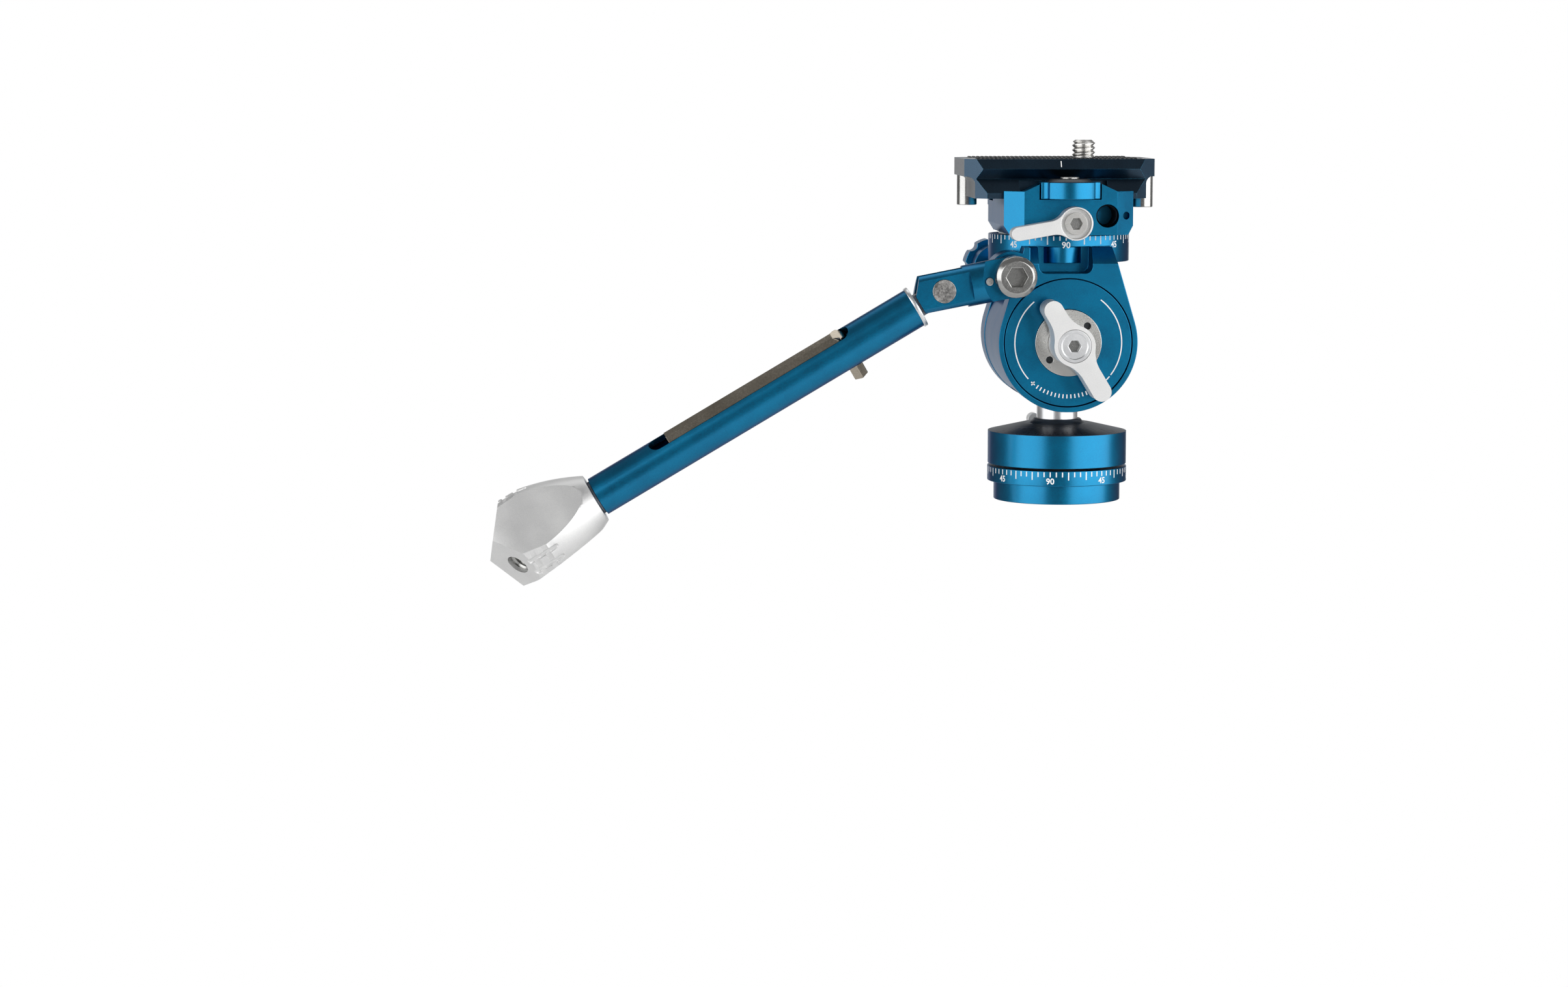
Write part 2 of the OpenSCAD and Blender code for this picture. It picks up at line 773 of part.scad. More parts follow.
// Pan lock
module pan_lock_lever() {
    color("gainsboro") head() difference() {
        union() {
            translate([pan_lock_x, 0, pan_lock_z]) y_slab(-pan_lever_face, -pan_lever_back)
                rotate(180 + pan_drop) filleted_arm(pan_hub_r, pan_arm, pan_arm_hw, pan_fillet);
            y_cyl(pan_lock_x, pan_lock_z, -pan_lever_face, -pan_lever_back, pan_hub_r);
        }
        y_cyl(pan_lock_x, pan_lock_z, -pan_lever_face - 1, 0, pan_screw_r + fit);
        y_cyl(pan_lock_x, pan_lock_z, -pan_lever_face - 1, -pan_lever_face + 2, pan_counterbore_r);
    }
}

module pan_lock_screw() {
    color("silver") head() difference() {
        union() {
            y_cyl(pan_lock_x, pan_lock_z, -pan_lever_face + 0.4, -nut_r - nut_room, pan_screw_r);
            y_cyl(pan_lock_x, pan_lock_z, -pan_lever_face + 0.4, -pan_lever_face + 2, pan_head_r);
        }
        hex_pocket(pan_lock_x, pan_lock_z, -pan_lever_face - 1, -pan_lever_face + 1.9, small_hex_r);
    }
}

// Clamp knob
module at_clamp_knob() {
    head() translate([clamp_knob_x, clamp_knob_y, clamp_knob_z]) children();
}

module clamp_knob() {
    color("steelblue") at_clamp_knob() difference() {
        cylinder(h = clamp_knob_h, r = clamp_knob_r);
        for (turn = [-30, 90, 210])
            rotate(turn) translate([flute_at, 0, -1]) cylinder(h = clamp_knob_h + 2, r = flute_r);
        translate([0, 0, -1]) cylinder(h = clamp_knob_h + 2, r = stud_r + fit);
    }
}

module clamp_washer() {
    color("gainsboro") at_clamp_knob() difference() {
        translate([0, 0, clamp_knob_h]) cylinder(h = cone_h, r1 = cone_r, r2 = cone_top_r);
        translate([0, 0, clamp_knob_h - 1]) cylinder(h = cone_h + 2, r = stud_r + fit);
    }
}

module clamp_stud() {
    color("silver") union() {
        head() translate([clamp_knob_x, clamp_knob_y, stud_foot + 0.2])
            cylinder(h = clamp_knob_z - stud_foot - 0.2 + clamp_knob_h + cone_h, r = stud_r);
        at_clamp_knob() translate([0, 0, clamp_knob_h + cone_h]) cylinder(h = 0.5, r = 2.6);
    }
}

// Plate
module plate_profile() {
    polygon([
        [-rail_hw, plate_z], [rail_hw, plate_z], [rail_hw, rail_z], [valley_hw, valley_z],
        [ridge_hw, ridge_z], [top_hw, plate_top], [-top_hw, plate_top], [-ridge_hw, ridge_z],
        [-valley_hw, valley_z], [-rail_hw, rail_z]
    ]);
}

module plate_plan() {
    end_hw = ridge_hw - plate_corner;
    side_half = flange_half - (rail_hw + 1 - end_hw);
    polygon([
        [-flange_half, -end_hw], [-side_half, -rail_hw - 1], [side_half, -rail_hw - 1], [flange_half, -end_hw],
        [flange_half, end_hw], [side_half, rail_hw + 1], [-side_half, rail_hw + 1], [-flange_half, end_hw]
    ]);
}

// What is taken off one end under the flange: a step with a hollow corner
module rail_end() {
    difference() {
        translate([rail_half, plate_z - 1]) square([10, valley_z - plate_z + 1.6]);
        translate([rail_half, valley_z - 1.4]) difference() {
            square([2, 3]);
            translate([2, 0]) circle(r = 2);
        }
    }
}

module long_slot(x0, x1, r, z0, z1) {
    translate([0, 0, z0]) linear_extrude(height = z1 - z0) {
        translate([x0, -r]) square([x1 - x0, 2 * r]);
        translate([x0, 0]) circle(r = r);
        translate([x1, 0]) circle(r = r);
    }
}

module pad_box(side, z0, z1, play) {
    y0 = side > 0 ? pad_in - play : -pad_out - play;
    translate([plate_x - pad_half - play, y0, z0])
        cube([2 * pad_half + 2 * play, pad_out - pad_in + 2 * play, z1 - z0]);
}

module stop_pin(x, y, r, z0, z1) {
    translate([x, y, z0]) cylinder(h = z1 - z0, r = r);
}

module plate() {
    color("dimgray") head() difference() {
        translate([plate_x, 0, 0]) difference() {
            intersection() {
                x_slab(-flange_half, flange_half) plate_profile();
                translate([0, 0, plate_z - 1]) linear_extrude(height = 20) plate_plan();
            }
            y_slab(-rail_hw - 1, rail_hw + 1) rail_end();
            mirror([1, 0, 0]) y_slab(-rail_hw - 1, rail_hw + 1) rail_end();
        }
        translate([relief_left, -rail_hw - 1, plate_z - 1])
            cube([relief_right - relief_left, rail_hw + 1 - relief_hw, relief_z - plate_z + 1]);
        long_slot(slot_left, slot_right, slot_r, plate_z - 1, plate_top + 1);
        long_slot(slot_left, slot_right, channel_hw, plate_z - 1, channel_top);
        pad_box(-1, plate_top - pad_depth, plate_top + 1, fit);
        pad_box(1, plate_top - pad_depth, plate_top + 1, fit);
        stop_pin(left_pin_x, left_pin_y, stop_r + pin_room, plate_z - 1, valley_z + 0.6);
        stop_pin(right_pin_x, right_pin_y, stop_r + pin_room, plate_z - 1, valley_z + 0.6);
        stop_pin(left_pin_x, left_pin_y, stop_r + slip, plate_z - 1, pin_z1);
        stop_pin(right_pin_x, right_pin_y, stop_r + slip, plate_z - 1, pin_z1);
    }
}

module pad_front() {
    color("black") head() pad_box(-1, plate_top - pad_depth, plate_top - pad_depth + pad_t, 0);
}

module pad_rear() {
    color("black") head() pad_box(1, plate_top - pad_depth, plate_top - pad_depth + pad_t, 0);
}

module stop_pin_left() {
    color("silver") head() stop_pin(left_pin_x, left_pin_y, stop_r, pin_z0, pin_z1);
}

module stop_pin_right() {
    color("silver") head() stop_pin(right_pin_x, right_pin_y, stop_r, pin_z0, pin_z1);
}

module screw_washer() {
    color("silver") head() translate([screw_x, 0, 0])
        ring(head_top + slip, washer_top, head_r - 0.2, shank_r + fit);
}

module camera_screw() {
    color("silver") head() translate([screw_x, 0, 0]) difference() {
        union() {
            translate([0, 0, head_z]) cylinder(h = head_top - head_z, r = head_r);
            translate([0, 0, head_z]) cylinder(h = thread_z - head_z, r = shank_r);
            translate([0, 0, thread_z]) cylinder(h = plate_top + screw_rise - thread_z, r = screw_r);
        }
        translate([-head_r - 1, -0.8, head_z - 1]) cube([2 * head_r + 2, 1.6, 2.4]);
    }
}

// Handle
module handle_bracket() {
    color("steelblue") bracket_frame() difference() {
        union() {
            x_cyl(0, bracket_len + 9, bracket_r);
            y_cyl(0, 0, spot_y, bracket_seat, bracket_r);
        }
        y_cyl(0, 0, -10, spot_y, spot_r);
        y_cyl(0, 0, -10, 10, bolt_r + fit);
        for (side = [-1, 1])
            translate([bracket_len, 0, 0]) rotate([0, side * bracket_facet, 0])
                translate([bracket_end, -10, -20]) cube([20, 20, 40]);
        translate([bracket_len - fork_back, -fork_hw, -10]) cube([20, 2 * fork_hw, 20]);
        translate([bracket_len - 7.6, -10, -10]) cube([20, 10 - elbow_flat, 20]);
        y_cyl(bracket_len, 0, -10, 10, elbow_pin_r + slip);
        rotate([0, -bracket_turn, 0]) y_cyl(dowel_x - ear_x, dowel_z - ear_z, -10, 10, dowel_r + fit);
    }
}

module handle_bolt() {
    color("silver") head() difference() {
        union() {
            translate([ear_x, handle_y + spot_y - bolt_head_h, ear_z]) rotate([-90, 0, 0])
                cylinder(h = bolt_chamfer, r1 = bolt_head_r - bolt_chamfer, r2 = bolt_head_r);
            y_cyl(ear_x, ear_z, handle_y + spot_y - bolt_head_h + bolt_chamfer, handle_y + spot_y, bolt_head_r);
            y_cyl(ear_x, ear_z, handle_y + spot_y - 1, -cheek_in - 0.3, bolt_r);
        }
        hex_pocket(ear_x, ear_z, handle_y + spot_y - bolt_head_h - 1, handle_y + spot_y - 2, bolt_hex_r);
    }
}

module index_dowel() {
    color("silver") head() y_cyl(dowel_x, dowel_z, handle_y + spot_y - 0.6, -cheek_out + 4.9, dowel_r);
}

module elbow_pin() {
    color("silver") head() y_cyl(elbow_x, elbow_z, handle_y - elbow_flat - 0.2, handle_y + 5, elbow_pin_r);
}

module elbow_tongue() {
    color("dimgray") handle_frame() difference() {
        union() {
            y_cyl(0, 0, -tongue_hw, tongue_hw, tongue_r);
            translate([0, -tongue_hw, -neck_hw]) cube([tube_washer_start + 1, 2 * tongue_hw, 2 * neck_hw]);
            x_cyl(tube_washer_start, 22, plug_r);
        }
        y_cyl(0, 0, -10, 10, elbow_pin_r + fit);
    }
}

module tube_washer() {
    color("gainsboro") handle_frame() difference() {
        x_cyl(tube_washer_start, tube_start, tube_r + 0.4);
        x_cyl(0, tube_start + 1, tube_bore);
    }
}

// The key slot points out of the tube wall, turned from the top towards the front
module key_frame() {
    rotate([-slot_turn, 0, 0]) children();
}

module handle_tube() {
    key_gap = key_r + 0.2;
    color("steelblue") handle_frame() difference() {
        x_cyl(tube_start, tube_end, tube_r);
        x_cyl(0, tube_end + 1, tube_bore);
        key_frame() {
            translate([slot_start + key_gap, -key_gap, -2 * tube_r])
                cube([slot_len - 2 * key_gap, 2 * key_gap, 2 * tube_r]);
            translate([slot_start + key_gap, 0, -2 * tube_r]) cylinder(h = 2 * tube_r, r = key_gap);
            translate([slot_start + slot_len - key_gap, 0, -2 * tube_r]) cylinder(h = 2 * tube_r, r = key_gap);
            translate([key_start, 0, 0]) cylinder(h = 2 * tube_r, r = key_r + key_room);
        }
    }
}

// An L-shaped key with its corner rounded
module hex_key() {
    corner = key_bend - key_af / 2;
    color("dimgray") handle_frame() key_frame() translate([key_start, 0, -key_out]) difference() {
        union() {
            rotate([0, 90, 0]) rotate(30) cylinder(h = key_len - key_af / 2, r = key_r, $fn = hex_fn);
            translate([0, 0, -key_af / 2]) rotate(30)
                cylinder(h = key_out + key_af / 2 + key_short, r = key_r, $fn = hex_fn);
        }
        difference() {
            translate([-key_af, -key_af, -key_af]) cube([key_af + corner, 2 * key_af, key_af + corner]);
            translate([corner, 0, corner]) rotate([90, 0, 0])
                cylinder(h = 4 * key_af, r = key_bend, center = true);
        }
    }
}

module grip_ring() {
    color("black") handle_frame() union() {
        x_cyl(tube_end, grip_start, tube_r - 0.7);
        x_cyl(tube_end - 10, grip_start + plug_depth - 0.5, plug_r);
    }
}

// Half of the grip's outline: a bulging cone up to the ridges, then straight
module grip_profile() {
    dx = ridge_start;
    dr = grip_r - grip_neck_r;
    chord = norm([dx, dr]);
    lift = sqrt(pow(grip_bulge, 2) - pow(chord / 2, 2));
    bulge_r = (grip_neck_r + grip_r) / 2 - lift * dx / chord;
    bulge_x = grip_start + dx / 2 + lift * dr / chord;
    intersection() {
        translate([bulge_r, bulge_x]) circle(r = grip_bulge, $fn = 4 * $fn);
        translate([0, grip_start]) square([grip_r, ridge_start]);
    }
    translate([0, grip_start + ridge_start - eps]) square([grip_r, grip_len - ridge_start + eps]);
}

// Turn a shape about the handle axis, with 0 at the front and positive turns over the top
module about_axis(turn) {
    rotate([turn, 0, 0]) children();
}

// One end facet, sloping back from the tip, facing the front before it is turned
module end_facet() {
    translate([grip_tip, 0, 0]) rotate([0, 0, facet_turn]) translate([-40, -40, -30]) cube([80, 40, 60]);
}

// A side flat that leans out towards the tip and runs straight after its crease
module side_flat() {
    crease_in = grip_flat_in + flat_crease * tan(grip_flat_tilt);
    translate([grip_start, -grip_flat_in, 0]) rotate([0, 0, -grip_flat_tilt])
        translate([-20, -30, -30]) cube([80, 30, 60]);
    translate([grip_start + flat_crease, -crease_in - 30, -30]) cube([20, 30, 60]);
}

// Two round grooves along a ridge, with scooped ends, and two square ones across it
module ridge_grooves() {
    for (side = [-1, 1])
        translate([grip_start + groove_start, groove_r - groove_d - grip_r + 0.3, side * groove_off]) {
            sphere(r = groove_r);
            x_cyl(0, grip_len, groove_r);
        }
    for (x = cross_at)
        translate([grip_start + x - cross_w / 2, -grip_r - 1, -9]) cube([cross_w, groove_d + 1, 18]);
}

module end_hole() {
    translate([grip_tip - end_hole_at / tan(facet_turn), -end_hole_at, 0]) rotate([0, 0, facet_turn])
        rotate([90, 0, 0]) translate([0, 0, -end_hole_depth]) cylinder(h = 2 * end_hole_depth, r = accessory_r);
}

module grip() {
    color("gainsboro") handle_frame() difference() {
        rotate([0, 90, 0]) rotate_extrude() grip_profile();
        for (turn = [90, -30, -150])
            about_axis(turn) {
                end_facet();
                ridge_grooves();
            }
        for (turn = [30, 150, -90])
            about_axis(turn) side_flat();
        about_axis(-30) end_hole();
        x_cyl(0, grip_start + plug_depth, tube_bore);
    }
}

base_flange();
pan_axle();
axle_nut();
lower_dial_ring();
pan_washer();
base_drum();
drum_cap();
ball_stem();
lower_pan_lever();
lower_pan_screw();
ball_liner();
ball_cup();
lock_disc();
rear_disc();
spanner_nut();
brake_shoe();
ball_lock_lever();
lock_screw();
lever_cap();
yoke();
drag_washer_front();
drag_washer_rear();
upper_pan_axle();
upper_axle_nut();
upper_pan_washer();
tilt_lock_knob();
tilt_lock_screw();
clamp_body();
pan_lock_lever();
pan_lock_screw();
clamp_knob();
clamp_washer();
clamp_stud();
plate();
pad_front();
pad_rear();
stop_pin_left();
stop_pin_right();
screw_washer();
camera_screw();
handle_bracket();
handle_bolt();
index_dowel();
elbow_pin();
elbow_tongue();
tube_washer();
handle_tube();
grip_ring();
grip();
hex_key();
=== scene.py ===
# %% [markdown]
# A small hybrid tripod head: a panning base, a polished ball stem, a U-shaped yoke that tilts about the ball,
# a clamp with a camera plate on top and a folding handle with a silver grip.
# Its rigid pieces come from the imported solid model, which loads as a fixed frame in metres, so each new piece
# is placed from the solids. This script adds what they leave out: print, threads, ribs, finishes and light.

# %% Load the frame
import json
import math

import bmesh
import bpy
from mathutils import Matrix, Vector


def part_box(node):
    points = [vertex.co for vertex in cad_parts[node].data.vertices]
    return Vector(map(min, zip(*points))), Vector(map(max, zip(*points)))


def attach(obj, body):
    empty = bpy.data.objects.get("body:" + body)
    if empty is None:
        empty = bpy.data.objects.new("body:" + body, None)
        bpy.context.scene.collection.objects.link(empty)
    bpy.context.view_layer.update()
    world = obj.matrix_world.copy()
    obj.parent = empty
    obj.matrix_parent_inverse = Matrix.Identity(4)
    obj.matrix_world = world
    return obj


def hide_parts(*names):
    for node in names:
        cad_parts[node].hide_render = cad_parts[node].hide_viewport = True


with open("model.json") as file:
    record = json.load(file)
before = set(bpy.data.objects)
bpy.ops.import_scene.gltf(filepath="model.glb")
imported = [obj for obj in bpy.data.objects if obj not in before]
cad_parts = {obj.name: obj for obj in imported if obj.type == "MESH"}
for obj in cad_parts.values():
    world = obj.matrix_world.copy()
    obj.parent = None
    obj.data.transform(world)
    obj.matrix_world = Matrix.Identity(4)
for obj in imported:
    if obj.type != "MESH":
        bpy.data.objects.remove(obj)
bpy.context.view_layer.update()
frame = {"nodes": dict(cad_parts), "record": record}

MM = 0.001
nodes = frame["nodes"]

# %% [markdown]
# A long lens from about a metre flattens the head, as a product photographer's would. The camera stands a
# little to the left and looks slightly down, and it needs no shift, so other views can use it as it is.

# %% Camera
CAMERA_PLACE = Vector((-133.0, -1005.9, 114.5)) * MM
CAMERA_YAW = 3.22
CAMERA_PITCH = -6.39
SENSOR_WIDTH = 36
FOCAL_LENGTH = 83.43
NEAREST = 0.05
FARTHEST = 20

lens = bpy.data.cameras.new("camera")
lens.sensor_width = SENSOR_WIDTH
lens.lens = FOCAL_LENGTH
lens.clip_start = NEAREST
lens.clip_end = FARTHEST
camera = bpy.data.objects.new("camera", lens)
camera.location = CAMERA_PLACE
camera.rotation_euler = (math.radians(90 + CAMERA_PITCH), 0, math.radians(-CAMERA_YAW))
bpy.context.scene.collection.objects.link(camera)
bpy.context.scene.camera = camera
print("camera lens:", FOCAL_LENGTH, "mm")

# %% [markdown]
# Every finish is a small node tree. Colours are written as the hex values a designer would quote, and one
# function turns them into the linear values that the shader needs, with the numbers of the sRGB standard.
# One more function adds a node with its settings and links, so each finish reads as a short list of parts.

# %% Colour and node helpers
def linear(hex_colour):
    channels = [int(hex_colour[i:i + 2], 16) / 255 for i in (1, 3, 5)]
    return [c / 12.92 if c <= 0.04045 else ((c + 0.055) / 1.055) ** 2.4 for c in channels] + [1.0]


def add_node(material, kind, inputs=(), **settings):
    node = material.node_tree.nodes.new(kind)
    for name, value in settings.items():
        setattr(node, name, value)
    for socket, value in dict(inputs).items():
        if isinstance(value, bpy.types.NodeSocket):
            material.node_tree.links.new(value, node.inputs[socket])
        else:
            node.inputs[socket].default_value = value
    return node


def new_material(name):
    material = bpy.data.materials.new(name)
    material.use_nodes = True
    material.node_tree.nodes.clear()
    return material


print("mid grey as linear:", [round(c, 3) for c in linear("#808080")])

# %% [markdown]
# Machined metal never has one even gloss. Blasting or polishing leaves a fine grain, and handling leaves
# faint clouds a few millimetres wide. Both can be painted as images, but noise on object coordinates keeps
# its real size on every piece and needs no unwrapping. The grain of a blasted part is about 0.05 mm, which
# is too fine to show from a metre away, so it is drawn at a few tenths of a millimetre.

# %% Metal finish helper
CLOUD_SIZE = 9 * MM
FINE_GRAIN = 0.3 * MM
BUMP_DEPTH = 0.02 * MM
GLOSSIER = 0.04
DULLER = 0.05


def metal_finish(name, dark, light, roughness, bump, grain=FINE_GRAIN, coat=0.0, edge="#FFFFFF"):
    material = new_material(name)
    place = add_node(material, "ShaderNodeTexCoord").outputs["Object"]
    clouds = add_node(material, "ShaderNodeTexNoise", {"Vector": place, "Scale": 1 / CLOUD_SIZE, "Detail": 3})
    speckle = add_node(material, "ShaderNodeTexNoise", {"Vector": place, "Scale": 1 / grain, "Detail": 4})
    mixed = add_node(material, "ShaderNodeMath", {0: clouds.outputs["Fac"], 1: speckle.outputs["Fac"]},
                     operation="ADD")
    share = add_node(material, "ShaderNodeMapRange",
                     {"Value": mixed.outputs[0], "From Min": 0.7, "From Max": 1.3})
    colour = add_node(material, "ShaderNodeMix",
                      {"Factor": share.outputs[0], "A": linear(dark), "B": linear(light)}, data_type="RGBA")
    gloss = add_node(material, "ShaderNodeMapRange",
                     {"Value": share.outputs[0], "To Min": roughness - GLOSSIER,
                      "To Max": roughness + DULLER})
    grainy = add_node(material, "ShaderNodeBump",
                      {"Strength": bump, "Distance": BUMP_DEPTH, "Height": speckle.outputs["Fac"]})
    shader = add_node(material, "ShaderNodeBsdfPrincipled",
                      {"Base Color": colour.outputs["Result"], "Metallic": 1.0, "Roughness": gloss.outputs[0],
                       "Specular Tint": linear(edge), "Coat Weight": coat, "Coat Roughness": 0.25,
                       "Normal": grainy.outputs[0]})
    add_node(material, "ShaderNodeOutputMaterial", {"Surface": shader.outputs[0]})
    return material


print("clouds", CLOUD_SIZE / MM, "mm wide")

# %% [markdown]
# Blue anodised aluminium: the turned and milled parts are blasted, dyed and sealed. The eye sees a deep,
# saturated metal with soft highlights, and a thin clear layer of oxide that keeps a little white sheen.
# Light that grazes the surface passes the dye at a long slant, so the edge tint is a muted blue, not white.

# %% Blue anodised aluminium
EDGE_BLUE = "#35738C"
blue_anodised = metal_finish("blue_anodised_aluminium", "#006C96", "#007CA8", roughness=0.33, bump=0.3,
                             coat=0.4, edge=EDGE_BLUE)
print(blue_anodised.name)

# %% [markdown]
# Dark anodised aluminium, on the plate: its blue anodising is painted a black-blue as painted shade, for the
# dark surroundings it reflects. It looks almost black where no light falls on it, and slate blue where one
# catches it. The cap on the drum, the elbow's tongue and the grip's ring have a thinner black dye, which lets
# more of the metal through and looks a cool grey.

# %% Plate's anodising with painted shade, and black anodised aluminium
EDGE_DARK = "#2A4A5C"
# The plate's black-blue is painted shade: a darker colour in place of the dark surroundings it reflects.
dark_anodised = metal_finish("painted_shade_blue_anodised_aluminium", "#22384A", "#2A4458", roughness=0.34, bump=0.3,
                             coat=0.5, edge=EDGE_DARK)
cone_black = metal_finish("black_anodised_aluminium", "#666B73", "#727780", roughness=0.42, bump=0.3,
                          coat=0.3, edge=EDGE_DARK)
print(dark_anodised.name, cone_black.name)

# %% [markdown]
# Painted highlight on the plate's edges: the narrow rounds of its corners get a light blue finish, which stands
# in for the light they catch.

# %% Painted highlight on the plate's edges
painted_highlight_edge = metal_finish("painted_highlight_blue_edge", "#3FA2CC", "#5CB8DC", roughness=0.24, bump=0.1, coat=0.1)
print(painted_highlight_edge.name)

# %% [markdown]
# Polished aluminium: the ball stem, the tube's washer and the lever's cap. It is a soft mirror, so it takes
# its look from the lights.
# Blasted aluminium: the grip and the levers, the same metal with a satin skin that spreads the light widely.

# %% Silver aluminium
polished = metal_finish("polished_aluminium", "#E3E4E6", "#EEEFF0", roughness=0.34, bump=0.08, grain=0.4 * MM)
blasted = metal_finish("bead_blasted_aluminium", "#DFDFDF", "#EBEBEA", roughness=0.52, bump=0.5)
print(polished.name, blasted.name)

# %% [markdown]
# Stainless steel for screws, pins and washers: a little darker and warmer than aluminium.
# Ground steel for the stop pins and the bracket's bolt: darker and glossier.
# Nickel plate for the hex key: warm, rather dark and the glossiest.
# Black oxide steel for the clamp's washer; on inner surfaces the same dark finish is painted shade.
# Pitted steel for the rough end of the elbow pin.

# %% Steels
stainless = metal_finish("stainless_steel", "#D2D1CE", "#DEDDDA", roughness=0.28, bump=0.05)
ground_steel = metal_finish("ground_steel", "#A2A2A0", "#B4B4B2", roughness=0.22, bump=0.05)
nickel = metal_finish("nickel_plated_steel", "#A39A8B", "#BBB2A4", roughness=0.14, bump=0.15, grain=0.5 * MM)
black_oxide_and_shade = metal_finish("black_oxide_steel", "#3A3C3F", "#4A4D50", roughness=0.33, bump=0.3)
pitted = metal_finish("pitted_steel", "#4E4E4F", "#C4C2BF", roughness=0.34, bump=1.0, grain=0.55 * MM)
print(stainless.name, ground_steel.name, nickel.name, black_oxide_and_shade.name, pitted.name)

# %% [markdown]
# Rubber, bearing plastic and print ink are not metals: colour comes from inside, and the gloss stays white.
# Each gets one noise, which serves as a rough skin and as a slight change of shade and gloss.

# %% Plastics, rubber and ink
GLOSS_SPREAD = 0.06


def dull_finish(name, dark, light, roughness, bump, grain, ior):
    material = new_material(name)
    place = add_node(material, "ShaderNodeTexCoord").outputs["Object"]
    skin = add_node(material, "ShaderNodeTexNoise", {"Vector": place, "Scale": 1 / grain, "Detail": 5})
    share = add_node(material, "ShaderNodeMapRange",
                     {"Value": skin.outputs["Fac"], "From Min": 0.35, "From Max": 0.65})
    colour = add_node(material, "ShaderNodeMix",
                      {"Factor": share.outputs[0], "A": linear(dark), "B": linear(light)}, data_type="RGBA")
    gloss = add_node(material, "ShaderNodeMapRange",
                     {"Value": share.outputs[0], "To Min": roughness - GLOSS_SPREAD,
                      "To Max": roughness + GLOSS_SPREAD})
    rough = add_node(material, "ShaderNodeBump",
                     {"Strength": bump, "Distance": BUMP_DEPTH, "Height": skin.outputs["Fac"]})
    shader = add_node(material, "ShaderNodeBsdfPrincipled",
                      {"Base Color": colour.outputs["Result"], "Roughness": gloss.outputs[0], "IOR": ior,
                       "Normal": rough.outputs[0]})
    add_node(material, "ShaderNodeOutputMaterial", {"Surface": shader.outputs[0]})
    return material


rubber = dull_finish("black_rubber", "#1B1C1E", "#26282A", roughness=0.62, bump=0.6, grain=0.4 * MM, ior=1.52)
bearing_plastic = dull_finish("acetal_bearing_plastic", "#C9C9C2", "#D6D6CF", roughness=0.45, bump=0.2,
                              grain=0.5 * MM, ior=1.48)
white_ink = dull_finish("white_print_ink", "#F0F1F2", "#F8F9F9", roughness=0.5, bump=0.1, grain=0.3 * MM,
                        ior=1.5)
print(rubber.name, bearing_plastic.name, white_ink.name)

# %% [markdown]
# The solid pieces now get their finish. The record lists them by slot, and a few differ from their slot:
# the cap on the drum is greyer than the plate, and the levers are blasted where the stem is polished.

# %% Finishes on the solid pieces
SLOT_FINISH = {
    "blue_anodised": blue_anodised,
    # The dark_anodised slot gets the plate's blue with painted shade.
    "dark_anodised": dark_anodised,
    "polished_silver": polished,
    "satin_silver": blasted,
    "bright_steel": stainless,
    "blackened_steel": black_oxide_and_shade,
    "black_rubber": rubber,
    "pale_bearing_plastic": bearing_plastic,
}
OWN_FINISH = {
    "drum_cap": cone_black,
    "elbow_tongue": cone_black,
    "grip_ring": cone_black,
    "ball_lock_lever": blasted,
    "lower_pan_lever": blasted,
    "pan_lock_lever": blasted,
    "hex_key": nickel,
    "stop_pin_left": ground_steel,
    "stop_pin_right": ground_steel,
    "handle_bolt": ground_steel,
    "elbow_pin": pitted,
    "clamp_washer": black_oxide_and_shade,
}

for entry in frame["record"]["subparts"]:
    solid = nodes[entry["node"]]
    finish = OWN_FINISH.get(entry["node"], SLOT_FINISH[entry["material_slot"]])
    solid.data.materials.clear()
    solid.data.materials.append(finish)
# The plate's second finish is the painted highlight on its edge rounds.
nodes["plate"].data.materials.append(painted_highlight_edge)

# %% [markdown]
# Real machined edges are broken by a small chamfer, and that line of light is what makes metal look solid.
# The frame's meshes stay as they are, so modifiers do it: triangles are joined to their flat or curved face,
# every sharp edge gets a narrow round, and the normals then favour the large faces.

# %% Broken edges on the solid pieces
EDGE_ROUND = 0.18 * MM
WIDER_ROUND = {"plate": 0.3 * MM, "handle_bolt": 0.25 * MM, "grip": 0.25 * MM}
EDGE_ANGLE = math.radians(28)
FLAT_ANGLE = math.radians(0.3)
MERGE = 0.002 * MM
LARGE_FACE_WEIGHT = 80
SAME_FINISH = -1
# Index of the plate's second finish, the painted highlight on its edge rounds.
PAINTED_HIGHLIGHT_FINISH = 1


def break_edges(solid, width, edge_finish):
    weld = solid.modifiers.new("join", "WELD")
    weld.merge_threshold = MERGE
    flat = solid.modifiers.new("flat faces", "DECIMATE")
    flat.decimate_type = "DISSOLVE"
    flat.angle_limit = FLAT_ANGLE
    edge = solid.modifiers.new("edge", "BEVEL")
    edge.width = width
    edge.segments = 2
    edge.limit_method = "ANGLE"
    edge.angle_limit = EDGE_ANGLE
    edge.use_clamp_overlap = True
    edge.material = edge_finish
    shade = solid.modifiers.new("shade", "WEIGHTED_NORMAL")
    shade.weight = LARGE_FACE_WEIGHT


for name, solid in nodes.items():
    break_edges(solid, WIDER_ROUND.get(name, EDGE_ROUND), PAINTED_HIGHLIGHT_FINISH if name == "plate" else SAME_FINISH)
print("edge round:", EDGE_ROUND / MM, "mm")

# %% [markdown]
# Every new piece ends in the same way, so one function does it: the faces are turned to agree, the mesh
# becomes an object with its finish, and the object rides on a body of the frame.

# %% Finish a new piece
def finish_piece(name, bm, material, body):
    bmesh.ops.recalc_face_normals(bm, faces=bm.faces)
    mesh = bpy.data.meshes.new(name)
    bm.to_mesh(mesh)
    bm.free()
    mesh.materials.append(material)
    piece = bpy.data.objects.new(name, mesh)
    bpy.context.scene.collection.objects.link(piece)
    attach(piece, body)
    print(name, "faces:", len(mesh.polygons))
    return piece


